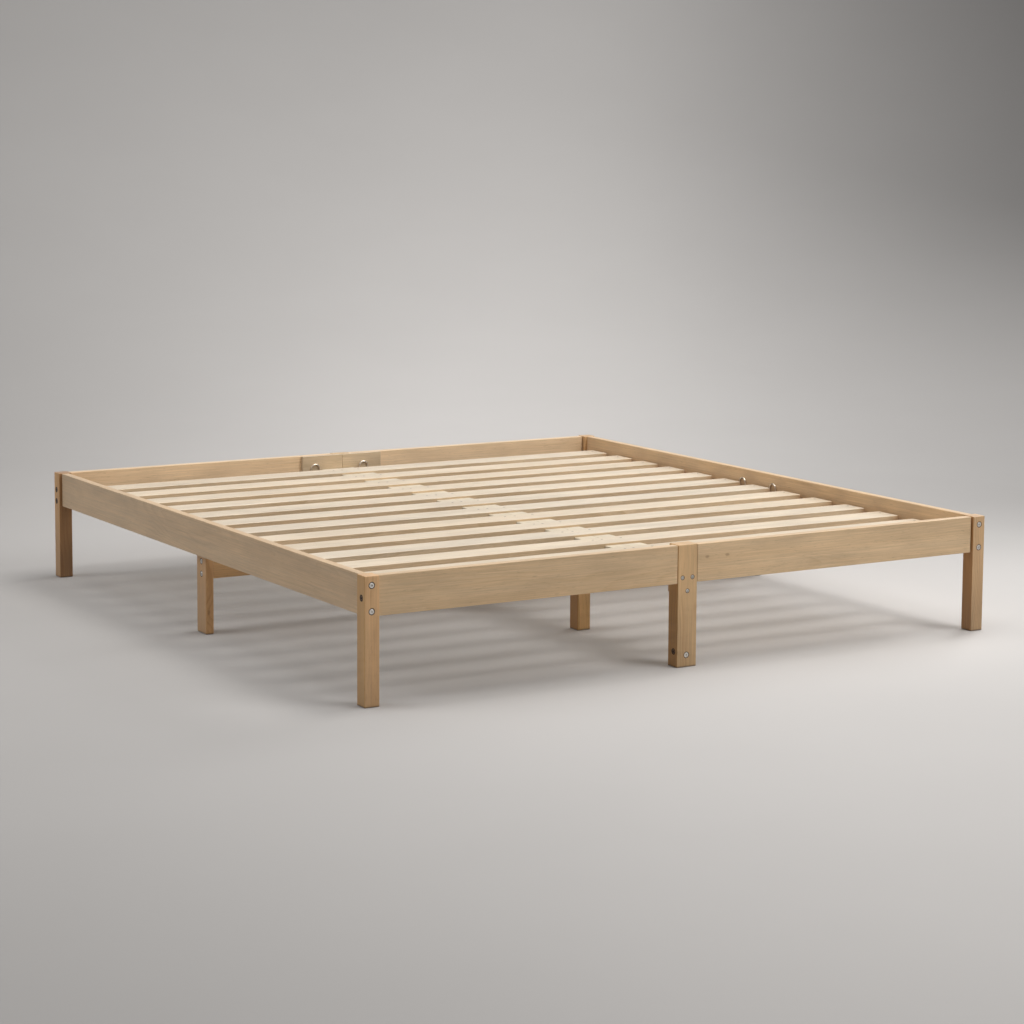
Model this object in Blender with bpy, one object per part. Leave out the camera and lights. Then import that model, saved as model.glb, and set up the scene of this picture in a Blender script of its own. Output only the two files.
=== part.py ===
"""Low wooden platform bed frame, knock-down construction.

Metres, +Z up.  The origin is on the floor under the middle of the frame;
-Y is the foot (front), +X is the right-hand side.
"""
import math

import bpy
import bmesh
from mathutils import Matrix, Vector

# ---------------------------------------------------------------- dimensions
FRAME_W = 2.000            # over the corner posts, left to right
FRAME_D = 2.102            # over the corner posts, front to back
FRAME_H = 0.332            # floor to the top of the corner posts
POST = 0.042               # square section of the corner posts
RAIL_T = 0.024             # thickness of every rail board
RAIL_H = 0.103             # height of every rail board
RAIL_TOP = 0.331           # rails stop a hair under the post tops
SIDE_SETBACK = 0.008       # side rail face behind the post face
END_SETBACK = 0.006        # front and back rail face behind the post face
GAP = 0.0003               # fitting gap between touching pieces
OPEN_SEAM = 0.0032         # rail ends that stop short of a post

SLAT_COUNT = 13
SLAT_W = 0.090
SLAT_T = 0.0150
SLAT_TOP = 0.290           # mattress level
SLAT_END = 0.0105          # slat end to the side rail's inner face
SLAT_PITCH = 0.15825
SLAT_Y2 = -0.8305          # centre of the second slat; the rest follow at the pitch
SLAT_Y1 = -0.9555          # the foot slat sits closer, just behind the front rail
HOUSING_PLAY = 0.0006      # side play of a slat in its housing

LEDGER_W = 0.030
LEDGER_H = 0.030

MID_W = 0.062              # width of the middle posts and side legs
MID_D = 0.0435             # depth of the front middle post
MID_X0 = -0.058            # left face of the front middle post
SIDE_LEG_T = 0.024

SPINE_X0, SPINE_X1 = -0.077, 0.040     # two joists side by side
SPINE_SEAM_X = -0.0185
SPINE_TOP = 0.2835         # the slats are let into the joists
SPINE_H = 0.0645
CROSS_T = 0.040
CROSS_H = 0.062
CENTRE_LEG = 0.043
CENTRE_LEG_Y = 0.472
CLEAT_T = 0.024
CLEAT_FRONT = (-0.040, -0.010, 0.030)  # left, right, depth
CLEAT_BACK = (-0.0785, 0.0415, 0.040)

SPLICE_T = 0.012
SPLICE_L = 0.146
SPLICE_SEAM_X = -0.002

TENON_T = 0.008
TENON_L = 0.015
TENON_H = 0.050

BOLT_HEAD_R = 0.0075
BOLT_HEAD_T = 0.0050
BOLT_PROUD = 0.0           # head flush with the wood face
BOLT_R = 0.0040
BORE_R = 0.0043
RECESS_R = 0.0090
SMALL_HEAD_R = 0.0052      # the three upper bolts of the front middle post
SMALL_RECESS_R = 0.0064
SOCKET_R = 0.0030
SOCKET_DEEP = 0.0030

HOOP_R = 0.0155            # centreline radius of the bent wire hoops
HOOP_WIRE_R = 0.0025
HOOP_TOP = 0.305
HOOP_SIDE_Y = (-0.087, 0.0745)
HOOP_BACK_X = (-0.103, 0.0765)

EASE_POST = 0.0020
EASE_RAIL = 0.0018
EASE_SLAT = 0.0012

HW, HD = FRAME_W / 2, FRAME_D / 2
SIDE_OUT = HW - SIDE_SETBACK
SIDE_IN = SIDE_OUT - RAIL_T
END_OUT = HD - END_SETBACK
END_IN = END_OUT - RAIL_T
SIDE_MID = (SIDE_OUT + SIDE_IN) / 2
END_MID = (END_OUT + END_IN) / 2
RAIL_BOTTOM = RAIL_TOP - RAIL_H
SLAT_BOTTOM = SLAT_TOP - SLAT_T
SEAT = SLAT_BOTTOM - GAP               # top of the ledgers, floor of the joist housings
SPINE_BOTTOM = SPINE_TOP - SPINE_H
SLATS_Y = [SLAT_Y1] + [SLAT_Y2 + i * SLAT_PITCH for i in range(SLAT_COUNT - 1)]
MID_X1 = MID_X0 + MID_W

Z_UPPER, Z_LOWER, Z_MIDDLE = 0.308, 0.242, 0.275     # front corner bolts
Z_REAR_Y = (0.308, 0.260)
Z_REAR_X = (0.278, 0.242)


# ------------------------------------------------------------------- helpers
def clear_scene():
    for ob in list(bpy.data.objects):
        bpy.data.objects.remove(ob, do_unlink=True)


def material(name, colour, rough, metal=0.0):
    mat = bpy.data.materials.new(name)
    mat.use_nodes = True
    bsdf = next(n for n in mat.node_tree.nodes if n.type == "BSDF_PRINCIPLED")
    bsdf.inputs["Base Color"].default_value = (*colour, 1.0)
    bsdf.inputs["Roughness"].default_value = rough
    bsdf.inputs["Metallic"].default_value = metal
    mat.diffuse_color = (*colour, 1.0)
    return mat


WOOD = (0.56, 0.40, 0.25)
ZINC = (0.62, 0.60, 0.57)


def add_object(name, bm, mat):
    bmesh.ops.recalc_face_normals(bm, faces=bm.faces)
    mesh = bpy.data.meshes.new(name)
    bm.to_mesh(mesh)
    bm.free()
    ob = bpy.data.objects.new(name, mesh)
    bpy.context.scene.collection.objects.link(ob)
    if mat is not None:
        mesh.materials.append(mat)
    return ob


def bm_box(bm, lo, hi):
    size = [b - a for a, b in zip(lo, hi)]
    mid = [(a + b) / 2 for a, b in zip(lo, hi)]
    mat = Matrix.Translation(mid) @ Matrix.Diagonal((*size, 1.0))
    return bmesh.ops.create_cube(bm, size=1.0, matrix=mat)["verts"]


def eased_box(lo, hi, ease, segments=1):
    bm = bmesh.new()
    bm_box(bm, lo, hi)
    if ease > 0:
        bmesh.ops.bevel(bm, geom=list(bm.edges), offset=ease, segments=segments,
                        profile=0.5, affect="EDGES", clamp_overlap=True)
    return bm


def axis_frame(origin, axis):
    """Matrix whose local +Z runs along axis from origin."""
    return Matrix.Translation(origin) @ Vector(axis).to_track_quat("Z", "Y").to_matrix().to_4x4()


def bm_cylinder(bm, origin, axis, r, length, segments):
    m = axis_frame(origin, axis) @ Matrix.Translation((0, 0, length / 2))
    bmesh.ops.create_cone(bm, cap_ends=True, segments=segments, radius1=r,
                          radius2=r, depth=length, matrix=m)


def cut(ob, cutters):
    """Cut boxes and cylinders out of an object with exact booleans."""
    made = []
    for kind, *args in cutters:
        bm = bmesh.new()
        if kind == "box":
            bm_box(bm, *args)
        else:
            bm_cylinder(bm, *args)
        c = add_object("cutter", bm, None)
        mod = ob.modifiers.new("cut", "BOOLEAN")
        mod.operation = "DIFFERENCE"
        mod.solver = "EXACT"
        mod.object = c
        made.append(c)
    dg = bpy.context.evaluated_depsgraph_get()
    mesh = bpy.data.meshes.new_from_object(ob.evaluated_get(dg), depsgraph=dg)
    ob.modifiers.clear()
    old = ob.data
    ob.data = mesh
    mesh.name = ob.name
    bpy.data.meshes.remove(old)
    for c in made:
        m = c.data
        bpy.data.objects.remove(c, do_unlink=True)
        bpy.data.meshes.remove(m)
    return ob


def bolt_cutters(face, axis, depth, recess_r=RECESS_R):
    """Recess for the head and a bore for the shank, from a face point inward."""
    f, a = Vector(face), Vector(axis)
    deep = BOLT_HEAD_T - BOLT_PROUD + GAP
    return [("cyl", f - a * 0.002, a, recess_r, 0.002 + deep, 24),
            ("cyl", f, a, BORE_R, depth, 12)]


def bore(origin, axis, depth):
    o, a = Vector(origin), Vector(axis)
    return ("cyl", o - a * 0.003, a, BORE_R, depth + 0.003, 12)


def lathe_rings(bm, frame, rings):
    """Closed body from (radius, height, count) rings that share one count."""
    made = []
    for r, z, n in rings:
        made.append([bm.verts.new(frame @ Vector((r * math.cos(2 * math.pi * (i + 0.5) / n),
                                                  r * math.sin(2 * math.pi * (i + 0.5) / n), z)))
                     for i in range(n)])
    return made


def make_bolt(name, face, axis, length, mat, head_r=BOLT_HEAD_R):
    """Socket-head bolt: eased round head, hexagon socket, plain shank."""
    n = 24
    # local +Z points out of the wood
    frame = axis_frame(face, -Vector(axis))
    top, low = BOLT_PROUD, BOLT_PROUD - BOLT_HEAD_T
    bm = bmesh.new()
    rings = lathe_rings(bm, frame, [
        (BOLT_R - 0.0008, low - length, n), (BOLT_R, low - length + 0.0010, n),
        (BOLT_R, low, n), (head_r, low, n), (head_r, top - 0.0010, n),
        (head_r - 0.0010, top, n)])
    for a, b in zip(rings, rings[1:]):
        for i in range(n):
            j = (i + 1) % n
            bm.faces.new((a[i], a[j], b[j], b[i]))
    bm.faces.new(list(reversed(rings[0])))
    # hexagon socket: four outer points lead to each side of the hexagon
    hexa = [[bm.verts.new(frame @ Vector((SOCKET_R * math.cos(math.pi * k / 3),
                                          SOCKET_R * math.sin(math.pi * k / 3), z)))
             for k in range(6)] for z in (top, top - SOCKET_DEEP)]
    rim = rings[-1]
    for k in range(6):
        k2 = (k + 1) % 6
        first = (4 * k) % n
        chain = [rim[(first + s) % n] for s in range(5)]
        for s in range(4):
            anchor = hexa[0][k] if s < 2 else hexa[0][k2]
            bm.faces.new((chain[s], chain[s + 1], anchor))
        bm.faces.new((chain[2], hexa[0][k2], hexa[0][k]))
        bm.faces.new((hexa[0][k], hexa[0][k2], hexa[1][k2], hexa[1][k]))
    bm.faces.new(hexa[1])
    return add_object(name, bm, mat)


def make_hoop(name, centre, along, foot_z, mat):
    """Bent wire hoop: two straight legs joined by a half circle."""
    sides, steps = 8, 10
    along = Vector(along)
    up = Vector((0, 0, 1))
    normal = along.cross(up)
    mid = Vector((centre[0], centre[1], HOOP_TOP - HOOP_WIRE_R - HOOP_R))
    path = [(mid + along * HOOP_R + up * (foot_z - mid.z), up)]
    for s in range(steps + 1):
        a = math.pi * s / steps
        path.append((mid + along * (HOOP_R * math.cos(a)) + up * (HOOP_R * math.sin(a)),
                     -along * math.sin(a) + up * math.cos(a)))
    path.append((mid - along * HOOP_R + up * (foot_z - mid.z), -up))
    bm = bmesh.new()
    rings = []
    for point, tangent in path:
        side = tangent.cross(normal)
        rings.append([bm.verts.new(point + HOOP_WIRE_R * (side * math.cos(2 * math.pi * i / sides)
                                                          + normal * math.sin(2 * math.pi * i / sides)))
                      for i in range(sides)])
    for a, b in zip(rings, rings[1:]):
        for i in range(sides):
            j = (i + 1) % sides
            bm.faces.new((a[i], a[j], b[j], b[i]))
    bm.faces.new(list(reversed(rings[0])))
    bm.faces.new(rings[-1])
    return add_object(name, bm, mat)


def wood(name):
    return material(name + "_wood", WOOD, 0.55)


def steel(name):
    return material(name + "_zinc", ZINC, 0.35, 1.0)


# --------------------------------------------------------------------- build
clear_scene()

# corner posts: bored through for the bolts that pull the rails in
for fb, sy in (("front", -1), ("back", 1)):
    for lr, sx in (("left", -1), ("right", 1)):
        name = f"corner_post_{fb}_{lr}"
        x0, x1 = sorted((sx * HW, sx * (HW - POST)))
        y0, y1 = sorted((sy * HD, sy * (HD - POST)))
        ob = add_object(name, eased_box((x0, y0, 0.0), (x1, y1, FRAME_H), EASE_POST, 2), wood(name))
        zy = (Z_UPPER, Z_LOWER) if sy < 0 else Z_REAR_Y
        zx = (Z_MIDDLE,) if sy < 0 else Z_REAR_X
        cutters = []
        for z in zy:
            cutters += bolt_cutters((sx * SIDE_MID, sy * HD, z), (0, -sy, 0), POST + 0.003)
        for z in zx:
            cutters += bolt_cutters((sx * HW, sy * END_MID, z), (-sx, 0, 0), POST + 0.003)
        cut(ob, cutters)

# side rails run between the corner posts
for lr, sx in (("left", -1), ("right", 1)):
    name = f"side_rail_{lr}"
    x0, x1 = sorted((sx * SIDE_OUT, sx * SIDE_IN))
    yl = HD - POST - GAP
    y_back = yl - (OPEN_SEAM if sx < 0 else 0.0)
    ob = add_object(name, eased_box((x0, -yl, RAIL_BOTTOM), (x1, y_back, RAIL_TOP), EASE_RAIL, 2), wood(name))
    cut(ob, [bore((sx * SIDE_MID, -yl, z), (0, 1, 0), 0.032) for z in (Z_UPPER, Z_LOWER)]
        + [bore((sx * SIDE_MID, y_back, z), (0, -1, 0), 0.032) for z in Z_REAR_Y])


def half_rail(name, sy, x_out, x_in, bolt_z):
    """Half of an end rail: bored at the corner end, tenoned at the middle."""
    s = 1 if x_in > x_out else -1
    x0, x1 = sorted((x_out, x_in))
    y0, y1 = sorted((sy * END_OUT, sy * END_IN))
    ob = add_object(name, eased_box((x0, y0, RAIL_BOTTOM), (x1, y1, RAIL_TOP), EASE_RAIL, 2), wood(name))
    bm = bmesh.new()
    t0, t1 = sorted((x_in - s * 0.004, x_in + s * TENON_L))
    zc = (RAIL_BOTTOM + RAIL_TOP) / 2 + 0.010
    ty = sy * END_MID
    bm_box(bm, (t0, ty - TENON_T / 2, zc - TENON_H / 2), (t1, ty + TENON_T / 2, zc + TENON_H / 2))
    tenon = add_object("tenon", bm, None)
    mod = ob.modifiers.new("tenon", "BOOLEAN")
    mod.operation = "UNION"
    mod.solver = "EXACT"
    mod.object = tenon
    cut(ob, [bore((x_out, ty, z), (s, 0, 0), 0.032) for z in bolt_z])
    m = tenon.data
    bpy.data.objects.remove(tenon, do_unlink=True)
    bpy.data.meshes.remove(m)
    return ob


def mortise(sy, x_face, s):
    """Pocket for a rail tenon, from the face at x_face along s."""
    zc = (RAIL_BOTTOM + RAIL_TOP) / 2 + 0.010
    c = GAP
    t0, t1 = sorted((x_face - s * 0.002, x_face + s * (TENON_L + 0.0006)))
    ty = sy * END_MID
    return ("box", (t0, ty - TENON_T / 2 - c, zc - TENON_H / 2 - c),
            (t1, ty + TENON_T / 2 + c, zc + TENON_H / 2 + c))


x_end = HW - POST - GAP
half_rail("front_rail_left", -1, -x_end, MID_X0 - 0.0015, (Z_MIDDLE,))
half_rail("front_rail_right", -1, x_end - OPEN_SEAM, MID_X1 + GAP, (Z_MIDDLE,))
half_rail("back_rail_left", 1, -x_end, -MID_W / 2 - GAP, Z_REAR_X)
half_rail("back_rail_right", 1, x_end - OPEN_SEAM, MID_W / 2 + GAP, Z_REAR_X)

# front middle post: full height between the two front rail halves
MID_FRONT = -END_OUT
front_mid_bolts = [(-0.043, 0.243), (-0.011, 0.243)]
CLEAT_BOLT = (-0.027, SPINE_BOTTOM - GAP - CLEAT_T / 2)
LOW_BOLT = (-0.028, 0.033)
SIDE_BOLT = (-1.027, 0.042)
ob = add_object("middle_post_front",
                eased_box((MID_X0, MID_FRONT, 0.0), (MID_X1, MID_FRONT + MID_D, FRAME_H), EASE_POST, 2),
                wood("middle_post_front"))
cutters = [mortise(-1, MID_X0, 1), mortise(-1, MID_X1, -1)]
for x, z in front_mid_bolts + [CLEAT_BOLT]:
    cutters += bolt_cutters((x, MID_FRONT, z), (0, 1, 0), MID_D + 0.003, SMALL_RECESS_R)
cutters += bolt_cutters((LOW_BOLT[0], MID_FRONT, LOW_BOLT[1]), (0, 1, 0), 0.034)
cutters += bolt_cutters((MID_X0, SIDE_BOLT[0], SIDE_BOLT[1]), (1, 0, 0), 0.024)
cut(ob, cutters)

# back middle post: a board as thick as the rails, between the halves
ob = add_object("middle_post_back",
                eased_box((-MID_W / 2, END_IN, 0.0), (MID_W / 2, END_OUT, FRAME_H), EASE_POST, 2),
                wood("middle_post_back"))
cut(ob, [mortise(1, -MID_W / 2, 1), mortise(1, MID_W / 2, -1)])

# inner splice boards that tie the back rail halves to the back middle post
zs0, zs1 = RAIL_BOTTOM + 0.001, RAIL_TOP - 0.001
ys0, ys1 = END_IN - GAP - SPLICE_T, END_IN - GAP
for lr, x0, x1 in (("left", SPLICE_SEAM_X - GAP / 2 - SPLICE_L, SPLICE_SEAM_X - GAP / 2),
                   ("right", SPLICE_SEAM_X + GAP / 2, SPLICE_SEAM_X + GAP / 2 + SPLICE_L)):
    name = f"back_splice_{lr}"
    add_object(name, eased_box((x0, ys0, zs0), (x1, ys1, zs1), EASE_SLAT), wood(name))

# spine: two joists from the front middle post to the back splice boards,
# with a housing for every slat
spine_y0 = MID_FRONT + MID_D + GAP
spine_y1 = ys0 - GAP
for lr, x0, x1 in (("left", SPINE_X0, SPINE_SEAM_X - GAP / 2), ("right", SPINE_SEAM_X + GAP / 2, SPINE_X1)):
    name = f"spine_joist_{lr}"
    ob = add_object(name, eased_box((x0, spine_y0, SPINE_BOTTOM), (x1, spine_y1, SPINE_TOP), EASE_SLAT), wood(name))
    half = SLAT_W / 2 + HOUSING_PLAY
    cutters = [("box", (x0 - 0.003, (spine_y0 - 0.003 if y == SLAT_Y1 else y - half), SEAT),
                (x1 + 0.003, y + half, SPINE_TOP + 0.003)) for y in SLATS_Y]
    cutters += [bore((x, spine_y0, z), (0, 1, 0), 0.040) for x, z in front_mid_bolts if x0 < x < x1]
    cut(ob, cutters)

# cleats under both ends of the spine
cz1 = SPINE_BOTTOM - GAP
cz0 = cz1 - CLEAT_T
cx0, cx1, deep = CLEAT_FRONT
ob = add_object("cleat_front", eased_box((cx0, spine_y0, cz0), (cx1, spine_y0 + deep, cz1), EASE_SLAT), wood("cleat_front"))
cut(ob, [bore((CLEAT_BOLT[0], spine_y0, CLEAT_BOLT[1]), (0, 1, 0), deep + 0.003)])
cx0, cx1, deep = CLEAT_BACK
add_object("cleat_back", eased_box((cx0, END_IN - GAP - deep, cz0), (cx1, END_IN - GAP, cz1), EASE_SLAT), wood("cleat_back"))

# centre legs under the spine
for fb, sy in (("front", -1), ("back", 1)):
    name = f"centre_leg_{fb}"
    h = CENTRE_LEG / 2
    add_object(name, eased_box((-h, sy * CENTRE_LEG_Y - h, 0.0), (h, sy * CENTRE_LEG_Y + h, SPINE_BOTTOM - GAP), EASE_POST), wood(name))

# ledgers along the side rails carry the slat ends
for lr, sx in (("left", -1), ("right", 1)):
    name = f"side_ledger_{lr}"
    x0, x1 = sorted((sx * (SIDE_IN - GAP), sx * (SIDE_IN - GAP - LEDGER_W)))
    yl = HD - POST - GAP
    add_object(name, eased_box((x0, -yl, SEAT - LEDGER_H), (x1, yl, SEAT), EASE_SLAT), wood(name))

# side legs stand behind the side rails, under the ledgers
cross_z1 = SPINE_BOTTOM - GAP
cross_z0 = cross_z1 - CROSS_H
side_leg_out = SIDE_IN - GAP
side_leg_in = side_leg_out - SIDE_LEG_T
cross_mid = (cross_z0 + cross_z1) / 2
side_bolt_z = (cross_mid + 0.018, cross_mid - 0.018)
for lr, sx in (("left", -1), ("right", 1)):
    name = f"side_leg_{lr}"
    x0, x1 = sorted((sx * side_leg_out, sx * side_leg_in))
    ob = add_object(name, eased_box((x0, -MID_W / 2, 0.0), (x1, MID_W / 2, SEAT - LEDGER_H - GAP), EASE_POST), wood(name))
    cutters = []
    for z in side_bolt_z:
        cutters += bolt_cutters((sx * side_leg_out, 0.0, z), (-sx, 0, 0), SIDE_LEG_T + 0.003)
    cut(ob, cutters)

# cross beam between the side legs, under the spine
xb = side_leg_in - GAP
ob = add_object("cross_beam", eased_box((-xb, -CROSS_T / 2, cross_z0), (xb, CROSS_T / 2, cross_z1), EASE_SLAT), wood("cross_beam"))
cut(ob, [bore((sx * xb, 0.0, z), (-sx, 0, 0), 0.050) for sx in (-1, 1) for z in side_bolt_z])

# slats
slat_x = SIDE_IN - SLAT_END
for i, yc in enumerate(SLATS_Y):
    name = f"slat_{i + 1:02d}"
    add_object(name, eased_box((-slat_x, yc - SLAT_W / 2, SLAT_BOTTOM), (slat_x, yc + SLAT_W / 2, SLAT_TOP), EASE_SLAT), wood(name))

# bolts
def bolt(name, face, axis, length, head_r=BOLT_HEAD_R):
    make_bolt(name, face, axis, length, steel(name), head_r)


corner_len = 0.064
for lr, sx in (("left", -1), ("right", 1)):
    for tag, z in (("upper", Z_UPPER), ("lower", Z_LOWER)):
        bolt(f"bolt_front_{lr}_{tag}", (sx * SIDE_MID, -HD, z), (0, 1, 0), corner_len)
bolt("bolt_front_left_side", (-HW, -END_MID, Z_MIDDLE), (1, 0, 0), corner_len)
for tag, z in (("upper", Z_REAR_X[0]), ("lower", Z_REAR_X[1])):
    bolt(f"bolt_back_left_{tag}", (-HW, END_MID, z), (1, 0, 0), corner_len)
for tag, (x, z) in zip(("a", "b"), front_mid_bolts):
    bolt(f"bolt_middle_post_{tag}", (x, MID_FRONT, z), (0, 1, 0), 0.074, SMALL_HEAD_R)
bolt("bolt_middle_post_cleat", (CLEAT_BOLT[0], MID_FRONT, CLEAT_BOLT[1]), (0, 1, 0), 0.074, SMALL_HEAD_R)
bolt("bolt_middle_post_low", (LOW_BOLT[0], MID_FRONT, LOW_BOLT[1]), (0, 1, 0), 0.028)
bolt("bolt_middle_post_side", (MID_X0, SIDE_BOLT[0], SIDE_BOLT[1]), (1, 0, 0), 0.018)
for tag, z in zip(("upper", "lower"), side_bolt_z):
    bolt(f"bolt_side_leg_{tag}", (-side_leg_out, 0.0, z), (1, 0, 0), 0.062)

# bent wire hoops beside the middle of the side rails and of the back rail
for lr, sx in (("left", -1), ("right", 1)):
    for fb, y in zip(("front", "back"), HOOP_SIDE_Y):
        name = f"hoop_{lr}_{fb}"
        make_hoop(name, (sx * (SIDE_IN - GAP - HOOP_WIRE_R), y), (0, 1, 0), SEAT + GAP, steel(name))
for lr, x in zip(("left", "right"), HOOP_BACK_X):
    name = f"hoop_back_{lr}"
    make_hoop(name, (x, ys0 - GAP - HOOP_WIRE_R), (1, 0, 0), 0.262, steel(name))
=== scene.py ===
"""Looks of the low wooden platform bed frame: timber, zinc fittings, light, floor and camera.

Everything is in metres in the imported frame: +Z up, the foot of the bed towards -Y.
"""
import math
import random

import bmesh
import bpy
from mathutils import Euler, Matrix, Vector


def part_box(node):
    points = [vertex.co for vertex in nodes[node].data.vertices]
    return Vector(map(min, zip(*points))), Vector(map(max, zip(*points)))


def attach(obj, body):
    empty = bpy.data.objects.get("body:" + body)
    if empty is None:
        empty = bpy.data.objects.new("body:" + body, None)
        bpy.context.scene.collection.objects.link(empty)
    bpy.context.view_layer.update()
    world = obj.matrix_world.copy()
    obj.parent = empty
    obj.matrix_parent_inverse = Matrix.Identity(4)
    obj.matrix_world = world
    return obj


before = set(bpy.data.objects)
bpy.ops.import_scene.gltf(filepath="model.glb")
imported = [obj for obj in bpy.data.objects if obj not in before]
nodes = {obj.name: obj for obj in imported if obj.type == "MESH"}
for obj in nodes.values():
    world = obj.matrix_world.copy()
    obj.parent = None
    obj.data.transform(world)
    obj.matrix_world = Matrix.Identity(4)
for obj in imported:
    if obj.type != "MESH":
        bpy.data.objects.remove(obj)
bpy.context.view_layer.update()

scene = bpy.context.scene


# ------------------------------------------------------------- node helpers
class Graph:
    """Adds nodes to a tree and wires sockets given as inputs."""

    def __init__(self, tree):
        self.tree = tree

    def add(self, kind, inputs=None, **props):
        node = self.tree.nodes.new(kind)
        for key, value in props.items():
            setattr(node, key, value)
        for key, value in (inputs or {}).items():
            self.put(node.inputs[key], value)
        return node

    def put(self, socket, value):
        if isinstance(value, bpy.types.NodeSocket):
            self.tree.links.new(value, socket)
        else:
            socket.default_value = value

    def math(self, operation, a, b=None):
        node = self.add("ShaderNodeMath", operation=operation)
        for socket, value in zip(node.inputs, (a, b)):
            if value is not None:
                self.put(socket, value)
        return node.outputs[0]

    def vector(self, operation, a, b=None):
        node = self.add("ShaderNodeVectorMath", operation=operation)
        self.put(node.inputs[0], a)
        if b is not None:
            self.put(node.inputs[1], b)
        return node.outputs["Value" if operation in ("LENGTH", "DOT_PRODUCT") else "Vector"]

    def noise(self, vector, scale, detail=2.0, rough=0.5, stretch=(1, 1, 1)):
        scaled = self.vector("MULTIPLY", vector, stretch)
        node = self.add("ShaderNodeTexNoise", {"Vector": scaled, "Scale": scale,
                                               "Detail": detail, "Roughness": rough})
        return node.outputs["Fac"]

    def span(self, value, low, high, to_low=0.0, to_high=1.0, smooth=True):
        node = self.add("ShaderNodeMapRange",
                        {"Value": value, "From Min": low, "From Max": high,
                         "To Min": to_low, "To Max": to_high},
                        interpolation_type="SMOOTHSTEP" if smooth else "LINEAR")
        return node.outputs["Result"]

    def mix(self, factor, a, b, blend="MIX"):
        node = self.add("ShaderNodeMix", data_type="RGBA", blend_type=blend)
        self.put(node.inputs[0], factor)
        self.put(node.inputs[6], a)
        self.put(node.inputs[7], b)
        return node.outputs[2]

    def ramp(self, value, stops):
        """A colour ramp of greys, given as pairs of position and level."""
        node = self.add("ShaderNodeValToRGB", {"Fac": value})
        points = node.color_ramp.elements
        while len(points) < len(stops):
            points.new(0.5)
        for point, (at, level) in zip(points, stops):
            point.position = at
            point.color = rgba(level, level, level)
        return node.outputs["Color"]

    def grey(self, value):
        node = self.add("ShaderNodeCombineXYZ", {"X": value, "Y": value, "Z": value})
        return node.outputs[0]


def rgba(r, g, b):
    return (r, g, b, 1.0)


def new_material(name):
    """A material with an empty tree, and the Graph that fills it."""
    mat = bpy.data.materials.new(name)
    mat.use_nodes = True
    mat.node_tree.nodes.clear()
    return mat, Graph(mat.node_tree)


# -------------------------------------------------------------------- timber
EARLY = rgba(0.650, 0.465, 0.275)      # pale early wood
LATE = rgba(0.500, 0.325, 0.160)       # darker late wood lines
WARM = rgba(0.575, 0.385, 0.205)       # warm broad streaks
KNOT = rgba(0.250, 0.140, 0.070)
RING = 0.0062                          # spacing of the growth rings
RING_PROFILE = [(0.0, 0.0), (0.45, 0.12), (0.80, 0.8), (0.90, 1.0), (1.0, 0.0)]

# noises in the wood, as cycles per metre along the grain and twice across it
DRIFT = (1.6, 6.0, 6.0)                # slow wander of the rings
RIPPLE = (4.5, 30.0, 30.0)             # quick wander of the rings
PATCHY = (2.2, 16.0, 16.0)             # where the rings show and where they fade
FIBRE = (5.0, 330.0, 330.0)
HAIR = (22.0, 1500.0, 1500.0)
BROAD = (1.1, 30.0, 30.0)              # warm streaks
CLOUD = (4.0, 14.0, 14.0)
FLECK = (42.0, 520.0, 520.0)           # short dark pores

DRIFT_PUSH = 0.095                     # how far each of these moves the rings
RIPPLE_PUSH = 0.0070
KNOT_PUSH = 0.012
KNOT_CORE = (0.0030, 0.0072)           # radii between which the dark core fades out
KNOT_SWELL = (0.002, 0.040)            # radii between which the push fades out
KNOT_STRETCH = (0.60, 1.0, 1.0)        # a knot is longer along the grain
NO_KNOT = (9.0, 9.0, 9.0)              # a place outside every board

PITH = (0.055, 0.030)                  # from a board's middle to its pith, across the grain
LOG = (2.0, 40.0)                      # stretch of the log that the boards are cut from


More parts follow.
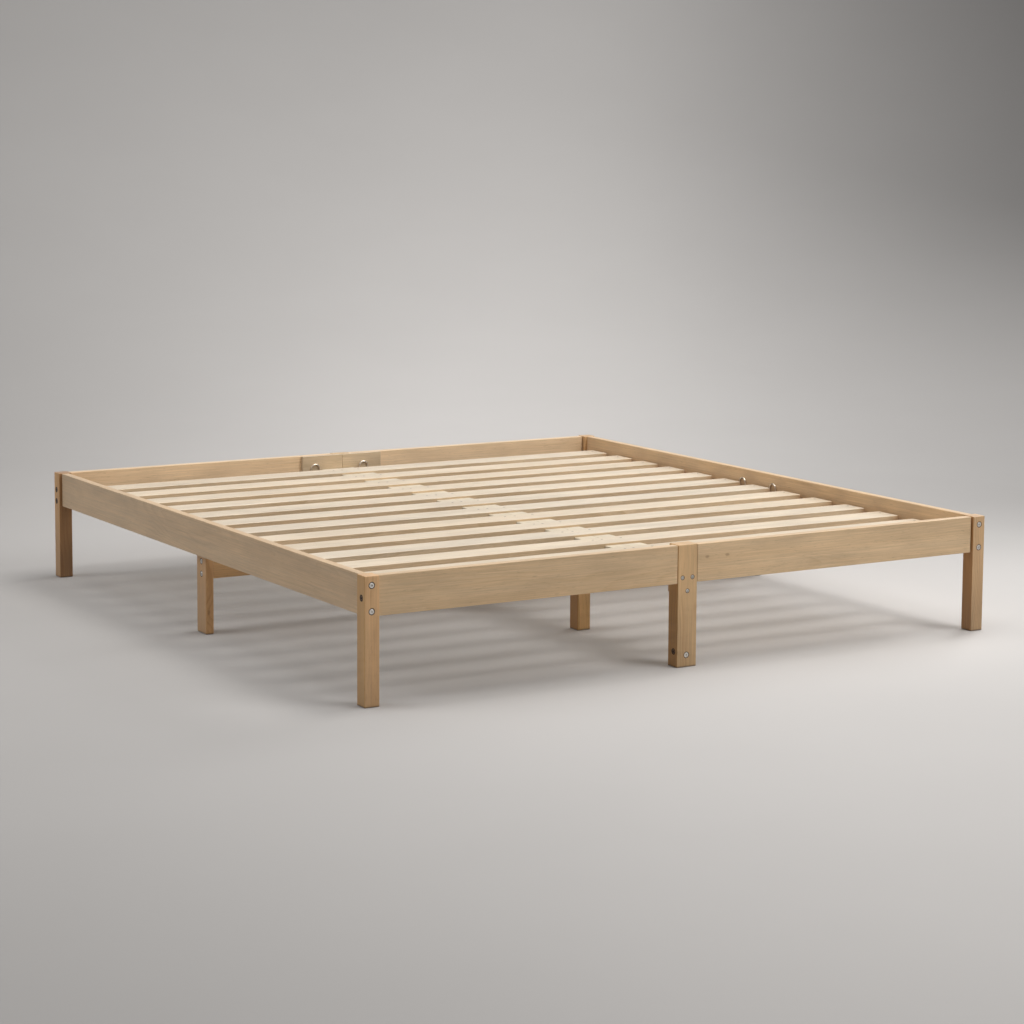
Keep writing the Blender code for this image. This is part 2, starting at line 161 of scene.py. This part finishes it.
def make_wood_group():
    """Solid timber. Vector is in metres with X along the grain and the pith on the X axis."""
    tree = bpy.data.node_groups.new("timber", "ShaderNodeTree")
    face = tree.interface
    for name, kind, value in (("Vector", "NodeSocketVector", None),
                              ("Knot A", "NodeSocketVector", NO_KNOT),
                              ("Knot B", "NodeSocketVector", NO_KNOT),
                              ("Figure", "NodeSocketFloat", 1.0),
                              ("Tint", "NodeSocketColor", rgba(1, 1, 1))):
        socket = face.new_socket(name, in_out="INPUT", socket_type=kind)
        if value is not None:
            socket.default_value = value
    for name, kind in (("Color", "NodeSocketColor"), ("Roughness", "NodeSocketFloat"),
                       ("Height", "NodeSocketFloat")):
        face.new_socket(name, in_out="OUTPUT", socket_type=kind)
    g = Graph(tree)
    given = g.add("NodeGroupInput").outputs
    place = given["Vector"]

    # knots: a short branch across the board, which pushes the rings aside
    cores, swells = [], []
    for which in ("Knot A", "Knot B"):
        offset = g.vector("SUBTRACT", place, given[which])
        flat = g.vector("MULTIPLY", offset, KNOT_STRETCH)
        wobble = g.math("MULTIPLY", g.noise(place, 140.0, 1.0), 0.003)
        distance = g.math("ADD", g.vector("LENGTH", flat), wobble)
        cores.append(g.span(distance, *KNOT_CORE, 1.0, 0.0))
        swells.append(g.span(distance, *KNOT_SWELL, 1.0, 0.0))
    knots = g.math("MAXIMUM", *cores)
    swell = g.math("ADD", *swells)

    # growth rings: the distance from the pith, made to wander, counted in rings
    split = g.add("ShaderNodeSeparateXYZ", {"Vector": place}).outputs
    across = g.math("SQRT", g.math("ADD", g.math("MULTIPLY", split["Y"], split["Y"]),
                                   g.math("MULTIPLY", split["Z"], split["Z"])))
    drift = g.noise(place, 1.0, 2.0, 0.5, DRIFT)
    ripple = g.noise(place, 1.0, 3.0, 0.55, RIPPLE)
    radius = g.math("ADD", across, g.math("MULTIPLY", drift, DRIFT_PUSH))
    radius = g.math("ADD", radius, g.math("MULTIPLY", ripple, RIPPLE_PUSH))
    radius = g.math("ADD", radius, g.math("MULTIPLY", swell, KNOT_PUSH))
    ring = g.ramp(g.math("FRACT", g.math("DIVIDE", radius, RING)), RING_PROFILE)
    patchy = g.span(g.noise(place, 1.0, 2.0, 0.5, PATCHY), 0.36, 0.70, 0.10, 1.0)
    ring = g.math("MULTIPLY", g.math("MULTIPLY", ring, patchy), given["Figure"])

    fibre = g.noise(place, 1.0, 4.0, 0.62, FIBRE)
    hair = g.noise(place, 1.0, 2.0, 0.6, HAIR)
    broad = g.span(g.noise(place, 1.0, 3.0, 0.6, BROAD), 0.32, 0.70)
    cloud = g.span(g.noise(place, 1.0, 3.0, 0.6, CLOUD), 0.30, 0.70)
    fleck = g.span(g.noise(place, 1.0, 1.0, 0.5, FLECK), 0.64, 0.76)

    colour = g.mix(ring, EARLY, LATE)
    colour = g.mix(g.math("MULTIPLY", broad, 0.55), colour, WARM)
    shade = g.span(fibre, 0.30, 0.70, 0.86, 1.10, smooth=False)
    for value, low, high, to_low, to_high in ((hair, 0.25, 0.75, 0.95, 1.04),
                                              (cloud, 0.0, 1.0, 0.90, 1.06),
                                              (fleck, 0.0, 1.0, 1.0, 0.80)):
        shade = g.math("MULTIPLY", shade, g.span(value, low, high, to_low, to_high, smooth=False))
    colour = g.mix(1.0, colour, g.grey(shade), "MULTIPLY")
    colour = g.mix(g.math("MULTIPLY", knots, 0.55), colour, KNOT)
    # Tint carries each board's tone together with the painted light and shade of its faces
    colour = g.mix(1.0, colour, given["Tint"], "MULTIPLY")

    rough = g.span(fibre, 0.25, 0.75, 0.40, 0.56, smooth=False)
    rough = g.math("ADD", rough, g.math("MULTIPLY", ring, -0.05))
    height = g.math("ADD", g.math("MULTIPLY", fibre, 0.55), g.math("MULTIPLY", hair, 0.25))
    height = g.math("ADD", height, g.math("MULTIPLY", ring, 0.20))
    height = g.math("SUBTRACT", height, g.math("MULTIPLY", fleck, 0.30))
    g.add("NodeGroupOutput", {"Color": colour, "Roughness": rough, "Height": height})
    return tree


TIMBER = make_wood_group()
# turns that bring each board's long axis onto the timber's X
TURN = {"x": Euler((0.0, 0.0, 0.0)), "y": Euler((0.0, 0.0, -math.pi / 2)),
        "z": Euler((0.0, math.pi / 2, 0.0))}


def painted_face_shade(g, where, axis, tint, side):
    """Painted shade on an upright: side on its faces along X, tint on the rest, darker towards
    the floor and with a painted contact shadow at the foot; or on a slat: tint on the top, side
    on the edges.
    """
    geometry = g.add("ShaderNodeNewGeometry").outputs
    normal = g.add("ShaderNodeSeparateXYZ", {"Vector": geometry["Normal"]}).outputs
    if axis != "z":
        flat = g.span(g.math("ABSOLUTE", normal["Z"]), 0.3, 0.8)
        return g.mix(flat, rgba(*side), rgba(*tint))
    # an upright's faces along X take side: painted shade
    sideways = g.span(g.math("ABSOLUTE", normal["X"]), 0.3, 0.8)
    cast = g.mix(sideways, rgba(*tint), rgba(*side))
    height = g.add("ShaderNodeSeparateXYZ", {"Vector": where}).outputs["Z"]
    # painted shade, darker towards the floor
    floor_shade = g.span(height, 0.0, 0.30, 0.86, 1.10)
    # painted contact shadow in the last 6 mm above the floor
    foot = g.span(height, 0.0, 0.006, 0.40, 1.0)
    return g.mix(1.0, cast, g.grey(g.math("MULTIPLY", floor_shade, foot)), "MULTIPLY")


def wood_material(name, axis, seed, figure, tint, side=None, knots=()):
    """A board cut from its own place in the log. knots are points in the frame.

    side is the tint of an upright's faces that look along X, or of a slat's edges: painted shade
    set against tint, which on a slat's top is partly a painted highlight.
    """
    rng = random.Random(seed)
    low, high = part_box(name)
    middle = (low + high) / 2
    turn = TURN[axis].to_matrix()
    # put the pith beside the board, and start anywhere along the log
    shift = Vector((rng.uniform(*LOG),
                    PITH[0] * rng.choice((-1, 1)) * rng.uniform(0.8, 1.3),
                    PITH[1] * rng.choice((-1, 1)) * rng.uniform(0.7, 1.4))) - turn @ middle
    shift.x = rng.uniform(*LOG)
    mat, g = new_material("timber_" + name)
    where = g.add("ShaderNodeTexCoord").outputs["Object"]
    cut = g.add("ShaderNodeMapping", {"Vector": where, "Location": shift, "Rotation": TURN[axis]},
                vector_type="POINT").outputs["Vector"]
    # with side given, the tint holds painted shade by face and by height
    cast = rgba(*tint) if side is None else painted_face_shade(g, where, axis, tint, side)
    timber = g.add("ShaderNodeGroup", node_tree=TIMBER)
    g.put(timber.inputs["Vector"], cut)
    g.put(timber.inputs["Figure"], figure)
    g.put(timber.inputs["Tint"], cast)
    for label, knot in zip(("Knot A", "Knot B"), knots):
        g.put(timber.inputs[label], turn @ Vector(knot) + shift)
    bump = g.add("ShaderNodeBump", {"Height": timber.outputs["Height"], "Strength": 0.35,
                                    "Distance": 0.0006})
    shader = g.add("ShaderNodeBsdfPrincipled", {
        "Base Color": timber.outputs["Color"], "Roughness": timber.outputs["Roughness"],
        "Normal": bump.outputs["Normal"], "IOR": 1.5, "Specular IOR Level": 0.6,
        "Sheen Weight": 0.35, "Sheen Roughness": 0.45, "Sheen Tint": rgba(1, 1, 1)})
    g.add("ShaderNodeOutputMaterial", {"Surface": shader.outputs["BSDF"]})
    return mat


# --------------------------------------------------------------------- metal
# light and dark blotches of each kind of fitting
ZINC_BOLT = (rgba(0.88, 0.86, 0.83), rgba(0.50, 0.47, 0.43))
ZINC_SPARE = (rgba(0.80, 0.79, 0.77), rgba(0.52, 0.50, 0.47))
# darker zinc for the bolts on the faces along -X: painted shade
ZINC_SHADED = (rgba(0.20, 0.14, 0.10), rgba(0.07, 0.05, 0.04))
ZINC_HOOP = (rgba(0.93, 0.86, 0.76), rgba(0.72, 0.62, 0.50))
ZINC_SCREW = (rgba(0.46, 0.42, 0.37), rgba(0.26, 0.23, 0.19))


def zinc_material(name, seed, light, dark):
    """Zinc plate with faint blotches and fine scratches."""
    mat, g = new_material(name)
    where = g.add("ShaderNodeTexCoord").outputs["Object"]
    where = g.vector("ADD", where, (seed * 1.37, seed * 0.71, seed * 2.11))
    blotch = g.span(g.noise(where, 420.0, 3.0, 0.6), 0.35, 0.68)
    scratch = g.noise(where, 1.0, 2.0, 0.5, (2400.0, 2400.0, 260.0))
    bump = g.add("ShaderNodeBump", {"Height": scratch, "Strength": 0.15, "Distance": 0.0002})
    shader = g.add("ShaderNodeBsdfPrincipled", {
        "Base Color": g.mix(blotch, light, dark),
        "Roughness": g.span(scratch, 0.25, 0.75, 0.24, 0.42, smooth=False),
        "Metallic": 1.0, "Normal": bump.outputs["Normal"]})
    g.add("ShaderNodeOutputMaterial", {"Surface": shader.outputs["BSDF"]})
    return mat


# ------------------------------------------------------- dress the CAD nodes
GRAIN = {
    "x": ["front_rail_left", "front_rail_right", "back_rail_left", "back_rail_right",
          "back_splice_left", "back_splice_right", "cleat_front", "cleat_back", "cross_beam"]
    + [f"slat_{i:02d}" for i in range(1, 14)],
    "y": ["side_rail_left", "side_rail_right", "spine_joist_left", "spine_joist_right",
          "side_ledger_left", "side_ledger_right"],
    "z": ["corner_post_front_left", "corner_post_front_right", "corner_post_back_left",
          "corner_post_back_right", "middle_post_front", "middle_post_back", "side_leg_left",
          "side_leg_right", "centre_leg_front", "centre_leg_back"],
}

# knots on the faces of two boards, as points in the frame
KNOTS = {"front_rail_right": ((0.036, -1.045, 0.294), (0.102, -1.045, 0.294)),
         "side_leg_left": ((-0.959, -0.031, 0.063),)}

# cast of a lying board, found by the start of its name, or else by its grain; some casts are
# painted light and shade
# slat and spine: pale tops, partly paler wood and partly a painted highlight
CAST = {"slat": (1.10, 1.31, 1.70), "spine": (1.04, 1.26, 1.60),
        # back: painted light on the back rails
        "back_splice": (0.86, 0.93, 1.04), "back": (1.16, 1.17, 1.22),
        # cross and side_ledger: painted shade under the deck
        "cross": (0.90, 0.76, 0.57), "side_ledger": (0.50, 0.40, 0.30),
        "x": (1.03, 1.02, 1.0), "y": (1.02, 1.0, 0.98)}
# tint of the slats' edges, set against the painted highlight on their tops
SLAT_EDGE = (1.10, 1.16, 1.26)
# upright boards, painted light and shade on each face: cast of the faces along Y, then of the
# faces along X
UPRIGHT = {"corner_post_front_left": ((0.97, 0.83, 0.68), (0.97, 0.78, 0.45)),
           "corner_post_front_right": ((0.82, 0.74, 0.65), (0.63, 0.43, 0.21)),
           "corner_post_back_left": ((0.52, 0.38, 0.25), (0.93, 0.70, 0.37)),
           "middle_post_front": ((0.93, 0.85, 0.72), (0.71, 0.50, 0.19)),
           "middle_post_back": ((0.88, 0.86, 0.80), (0.84, 0.80, 0.72)),
           "side_leg_left": ((1.00, 0.81, 0.60), (1.08, 0.90, 0.68)),
           "centre_leg_front": ((1.28, 1.10, 0.78), (0.74, 0.52, 0.24))}
# the other uprights: the same kind of painted shade
PLAIN_UPRIGHT = ((0.92, 0.80, 0.65), (0.86, 0.71, 0.50))
# strength of the growth rings
FIGURE_SLAT, FIGURE_RAIL, FIGURE_UPRIGHT = 0.80, 0.45, 1.5

# bolts on the faces that look along -X, drawn in darker zinc: painted shade
SHADED_SIDE_BOLTS = ("bolt_front_left_side", "bolt_back_left_upper", "bolt_back_left_lower",
        "bolt_middle_post_side")


def dress(name, mat):
    mesh = nodes[name].data
    mesh.materials.clear()
    mesh.materials.append(mat)


def times(a, b):
    return tuple(x * y for x, y in zip(a, b))


tones = random.Random(411)
number = 0
for axis, names in GRAIN.items():
    for name in names:
        number += 1
        bright = tones.uniform(0.95, 1.05)
        hue = tones.uniform(-0.02, 0.02)
        board = (bright * (1 + hue), bright, bright * (1 - hue * 1.5))
        figure, side = FIGURE_RAIL, None
        # uprights: painted light and shade by face, from UPRIGHT
        if axis == "z":
            figure = FIGURE_UPRIGHT
            cast, side = UPRIGHT.get(name, PLAIN_UPRIGHT)
        else:
            kind = next((k for k in CAST if len(k) > 1 and name.startswith(k)), axis)
            cast = times(CAST[kind], board)
        # slats: painted highlight on the tops, SLAT_EDGE on the edges
        if name.startswith("slat_"):
            figure, side = FIGURE_SLAT, times(SLAT_EDGE, board)
        dress(name, wood_material(name, axis, number, figure, cast, side, KNOTS.get(name, ())))

for i, name in enumerate(sorted(n for n in nodes if n.startswith(("bolt_", "hoop_")))):
    blotches = ZINC_HOOP if name.startswith("hoop_") else ZINC_BOLT
    if name in SHADED_SIDE_BOLTS:
        blotches = ZINC_SHADED
    dress(name, zinc_material("zinc_" + name, i + 1, *blotches))


# -------------------------------------------- fasteners that only look the part
def add_piece(name, bm, mat):
    bmesh.ops.recalc_face_normals(bm, faces=bm.faces)
    mesh = bpy.data.meshes.new(name)
    bm.to_mesh(mesh)
    bm.free()
    mesh.materials.append(mat)
    ob = bpy.data.objects.new(name, mesh)
    scene.collection.objects.link(ob)
    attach(ob, "root")


def facing(at, outward):
    """Matrix that carries the origin to a point on a face, and +Z to the face's outside."""
    return Matrix.Translation(at) @ Vector(outward).to_track_quat("Z", "Y").to_matrix().to_4x4()


def circle(bm, place, r, z, sides):
    return [bm.verts.new(place @ Vector((r * math.cos(2 * math.pi * i / sides),
                                         r * math.sin(2 * math.pi * i / sides), z)))
            for i in range(sides)]


def loft(bm, rings):
    """Walls of quads from each ring of vertices to the next."""
    for a, b in zip(rings, rings[1:]):
        for i in range(len(a)):
            j = (i + 1) % len(a)
            bm.faces.new((a[i], a[j], b[j], b[i]))


def stud(name, at, outward, mat, head_r, head_t, proud, socket_r, socket_deep, sides=24):
    """Round head with an eased rim and a round socket, its back buried in the wood."""
    place = facing(at, outward)
    bm = bmesh.new()
    ease = head_t * 0.2
    profile = [(head_r, proud - head_t), (head_r, proud - ease), (head_r - ease, proud),
               (socket_r, proud), (socket_r, proud - socket_deep)]
    rings = [circle(bm, place, r, z, sides) for r, z in profile]
    loft(bm, rings)
    bm.faces.new(list(reversed(rings[0])))
    bm.faces.new(rings[-1])
    add_piece(name, bm, mat)


# bolts in the bored recesses that carry no bolt in the model
SPARE_BOLTS = {
    "look_bolt_front_right_side": ((1.0, -1.033, 0.275), (1, 0, 0)),
    "look_bolt_back_right_upper": ((1.0, 1.033, 0.278), (1, 0, 0)),
    "look_bolt_back_right_lower": ((1.0, 1.033, 0.242), (1, 0, 0)),
    "look_bolt_head_left_upper": ((-0.980, 1.051, 0.308), (0, 1, 0)),
    "look_bolt_head_left_lower": ((-0.980, 1.051, 0.260), (0, 1, 0)),
    "look_bolt_head_right_upper": ((0.980, 1.051, 0.308), (0, 1, 0)),
    "look_bolt_head_right_lower": ((0.980, 1.051, 0.260), (0, 1, 0)),
    "look_bolt_side_leg_right_upper": ((0.9677, 0.0, 0.2057), (1, 0, 0)),
    "look_bolt_side_leg_right_lower": ((0.9677, 0.0, 0.1697), (1, 0, 0)),
}
BOLT_HEAD = dict(head_r=0.0075, head_t=0.0050, proud=0.0, socket_r=0.0030, socket_deep=0.0030)
SPARE_SEED = 40
for i, (name, (at, outward)) in enumerate(SPARE_BOLTS.items()):
    zinc = zinc_material("zinc_" + name, SPARE_SEED + i, *ZINC_SPARE)
    stud(name, at, outward, zinc, **BOLT_HEAD)

# painted shade: a dark ring round every bolt head, just inside its recess
recess_shade, g = new_material("recess_shade_ring")
speck = g.noise(g.add("ShaderNodeTexCoord").outputs["Object"], 900.0, 2.0)
shade_bsdf = g.add("ShaderNodeBsdfPrincipled", {
    "Base Color": g.mix(speck, rgba(0.055, 0.032, 0.018), rgba(0.030, 0.018, 0.010)),
    "Roughness": 0.9})
g.add("ShaderNodeOutputMaterial", {"Surface": shade_bsdf.outputs["BSDF"]})

GAP_RADII = (0.0066, 0.0089)           # inside and outside
SMALL_GAP_RADII = (0.0044, 0.0063)
GAP_SUNK = 0.0004                      # below the wood face, and as thick again
SMALL_HEADS = ("bolt_middle_post_a", "bolt_middle_post_b", "bolt_middle_post_cleat")


def recess_shade_ring(name, at, outward, radii=GAP_RADII):
    """Flat dark ring of painted shade, sunk a little below the wood face."""
    place = facing(at, outward)
    inner, outer = radii
    top, bottom = -GAP_SUNK, -2 * GAP_SUNK
    bm = bmesh.new()
    rings = [circle(bm, place, r, z, 24)
             for r, z in ((inner, top), (outer, top), (outer, bottom), (inner, bottom))]
    loft(bm, rings + rings[:1])
    add_piece(name, bm, recess_shade)


for name in sorted(n for n in nodes if n.startswith("bolt_")):
    low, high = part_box(name)
    size = [high[k] - low[k] for k in range(3)]
    run = size.index(max(size))
    middle = [(low[k] + high[k]) / 2 for k in range(3)]
    # the head lies at the end of the shank that is farther from the bed's middle
    outward = [0.0, 0.0, 0.0]
    outward[run] = math.copysign(1.0, middle[run])
    middle[run] = high[run] if outward[run] > 0 else low[run]
    if name == "bolt_middle_post_side":
        outward, middle[0] = [-1.0, 0.0, 0.0], low[0]
    radii = SMALL_GAP_RADII if name in SMALL_HEADS else GAP_RADII
    recess_shade_ring("look_shade_ring_" + name, middle, outward, radii)
for name, (at, outward) in SPARE_BOLTS.items():
    recess_shade_ring(name.replace("bolt", "gap"), at, outward)

# countersunk screws that hold the slats on the joists and the ledgers
SLAT_TOP = 0.290
SCREWS_X = (-0.940, -0.076, -0.046, 0.014, 0.940)
SCREW_OFF = 0.016                      # from the slat's centre line towards the head end
SCREW_HEAD = dict(head_r=0.0034, head_t=0.0008, proud=0.00025, socket_r=0.0012,
                  socket_deep=0.0004, sides=12)
screw_zinc = zinc_material("zinc_screws", 71, *ZINC_SCREW)
jitter = random.Random(97)
for name in sorted(n for n in nodes if n.startswith("slat_")):
    low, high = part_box(name)
    y_mid = (low.y + high.y) / 2
    for k, x in enumerate(SCREWS_X):
        y = y_mid + SCREW_OFF + jitter.uniform(-0.002, 0.002)
        at = (x + jitter.uniform(-0.0015, 0.0015), y, SLAT_TOP)
        stud(f"look_screw_{name[-2:]}_{k}", at, (0, 0, 1), screw_zinc, **SCREW_HEAD)

# -------------------------------------------------------------------- stage
BOWL_FLOOR = 3.6                       # radius of the flat floor
BOWL_WALL = 13.0                       # radius of the backdrop wall
BOWL_TOP = 11.0
BOWL_SIDES = 96
BEND_STEPS = 24
SUNK = 0.0002                          # the paper lies a hair under the feet
# painted light and shade on the paper: darker to the left and far right, a painted pool of light
# behind and another on the shadow under the bed
ACROSS = Vector((0.857, -0.515, 0.0))
DEEP = Vector((0.515, 0.857, 0.0))
PAPER_BASE = -0.137                                    # tones are natural logarithms
# painted shade towards the left
PAPER_SIDE_SHADE = (0.22, (-1.13, 0.95))                     # strength, reach along ACROSS
# painted shadow at the far right and far back
PAPER_CORNER_SHADE = (-1.49, (-1.05, 6.50), (0.26, 2.29))    # strength, reach along ACROSS and DEEP
# painted pools of light: one behind the bed, one on the shadow under it
PAPER_LIGHT_POOLS = [(0.295, (-0.60, 2.74), (1.38, 4.00)),   # strength, centre, widths
               (0.280, (0.67, -0.27), (0.90, 0.60))]
PAPER_MOTTLE = (rgba(0.417, 0.405, 0.396), rgba(0.423, 0.411, 0.402))


def paper_material():
    """Pale paper with painted light and shade across it, seen from inside the sweep, and clear
    from outside it.
    """
    mat, g = new_material("studio_paper")
    where = g.add("ShaderNodeTexCoord").outputs["Object"]
    mottle = g.noise(where, 1.6, 4.0, 0.55)
    across = g.vector("DOT_PRODUCT", where, ACROSS)
    deep = g.vector("DOT_PRODUCT", where, DEEP)
    # painted shade to the left, a painted shadow at the far right, then painted pools of light
    strength, reach = PAPER_SIDE_SHADE
    tone = g.math("ADD", g.span(across, *reach, 0.0, strength), PAPER_BASE)
    strength, reach, reach_deep = PAPER_CORNER_SHADE
    corner = g.math("MULTIPLY", g.span(across, *reach), g.span(deep, *reach_deep))
    tone = g.math("ADD", tone, g.math("MULTIPLY", corner, strength))
    for strength, centre, width in PAPER_LIGHT_POOLS:
        u = g.math("DIVIDE", g.math("SUBTRACT", across, centre[0]), width[0])
        v = g.math("DIVIDE", g.math("SUBTRACT", deep, centre[1]), width[1])
        far = g.math("ADD", g.math("MULTIPLY", u, u), g.math("MULTIPLY", v, v))
        pool = g.math("EXPONENT", g.math("MULTIPLY", far, -1.0))
        tone = g.math("ADD", tone, g.math("MULTIPLY", pool, strength))
    tone = g.grey(g.math("EXPONENT", tone))
    plain = g.mix(g.span(mottle, 0.3, 0.7), *PAPER_MOTTLE)
    paper = g.add("ShaderNodeBsdfPrincipled", {
        "Base Color": g.mix(1.0, plain, tone, "MULTIPLY"),
        "Roughness": 0.85, "Specular IOR Level": 0.25})
    clear = g.add("ShaderNodeBsdfTransparent")
    back = g.add("ShaderNodeNewGeometry").outputs["Backfacing"]
    both = g.add("ShaderNodeMixShader", {0: back, 1: paper.outputs[0], 2: clear.outputs[0]})
    g.add("ShaderNodeOutputMaterial", {"Surface": both.outputs[0]})
    return mat


def make_stage():
    """A round studio sweep: flat floor, curved up into a wall all round."""
    bm = bmesh.new()
    profile = [(r, 0.0) for r in (1.5, 2.6, BOWL_FLOOR)]
    bend = BOWL_WALL - BOWL_FLOOR
    for k in range(1, BEND_STEPS + 1):
        a = math.pi / 2 * k / BEND_STEPS
        profile.append((BOWL_FLOOR + bend * math.sin(a), bend * (1 - math.cos(a))))
    profile.append((BOWL_WALL, BOWL_TOP))
    rings = [[bm.verts.new((0, 0, 0))]]
    rings += [circle(bm, Matrix.Identity(4), r, z, BOWL_SIDES) for r, z in profile]
    for a, b in zip(rings, rings[1:]):
        for i in range(BOWL_SIDES):
            j = (i + 1) % BOWL_SIDES
            bm.faces.new([a[0], b[i], b[j]] if len(a) == 1 else [a[i], b[i], b[j], a[j]])
    for f in bm.faces:
        f.smooth = True
    mesh = bpy.data.meshes.new("studio_sweep")
    bm.to_mesh(mesh)
    bm.free()
    ob = bpy.data.objects.new("studio_sweep", mesh)
    scene.collection.objects.link(ob)
    ob.location.z = -SUNK
    mesh.materials.append(paper_material())


make_stage()

# ------------------------------------------------------------------- lights
world = bpy.data.worlds.new("studio")
scene.world = world
world.use_nodes = True
world.node_tree.nodes.clear()
g = Graph(world.node_tree)
sky = g.add("ShaderNodeBackground", {"Color": rgba(1.0, 0.985, 0.97), "Strength": 0.13})
g.add("ShaderNodeOutputWorld", {"Surface": sky.outputs[0]})

WARM_WHITE = (1.0, 0.98, 0.95)
SOFT_WHITE = (1.0, 0.99, 0.98)


def softbox(name, at, aim, size, watts, colour=SOFT_WHITE):
    data = bpy.data.lights.new(name, "AREA")
    data.shape = "SQUARE"
    data.size = size
    data.energy = watts
    data.color = colour
    ob = bpy.data.objects.new(name, data)
    ob.location = at
    ob.rotation_euler = (Vector(at) - Vector(aim)).to_track_quat("Z", "Y").to_euler()
    scene.collection.objects.link(ob)


softbox("key", (1.6, -0.6, 5.0), (0.0, 0.0, 0.1), 1.9, 90, WARM_WHITE)
softbox("overhead", (-0.4, -0.6, 5.2), (0.0, 0.0, 0.0), 4.5, 165)
softbox("front", (3.0, -5.0, 4.4), (0.0, 0.0, 0.2), 3.2, 190)
softbox("left", (-5.0, 1.2, 4.4), (0.0, 0.0, 0.2), 3.0, 90)
softbox("right", (5.6, 1.6, 3.4), (0.0, 0.0, 0.0), 2.6, 170)
softbox("backdrop", (2.6, 4.3, 6.0), (4.9, 8.1, 2.0), 3.0, 300)

# ------------------------------------------------------------------- camera
SENSOR_MM = 36.0
LENS_MM = 91.0546875
SHIFT_Y = -0.099609375                 # the optical axis lies above the picture's middle
EYE = (-3.931, -6.6289, 1.480)
YAW, PITCH, ROLL = (math.radians(a) for a in (31.0, 6.6418, 0.3577))
cam_data = bpy.data.cameras.new("camera")
cam_data.sensor_fit = "HORIZONTAL"
cam_data.sensor_width = SENSOR_MM
cam_data.lens = LENS_MM
cam_data.shift_y = SHIFT_Y
cam_data.clip_start, cam_data.clip_end = 0.1, 200.0
forward = Vector((math.sin(YAW) * math.cos(PITCH), math.cos(YAW) * math.cos(PITCH),
                  -math.sin(PITCH)))
right = Vector((math.cos(YAW), -math.sin(YAW), 0.0))
up = right.cross(forward)
right, up = (right * math.cos(ROLL) + up * math.sin(ROLL),
             up * math.cos(ROLL) - right * math.sin(ROLL))
turn = Matrix((right, up, -forward)).transposed().to_4x4()
camera = bpy.data.objects.new("camera", cam_data)
camera.matrix_world = Matrix.Translation(EYE) @ turn
scene.collection.objects.link(camera)
scene.camera = camera
scene.view_settings.view_transform = "Standard"
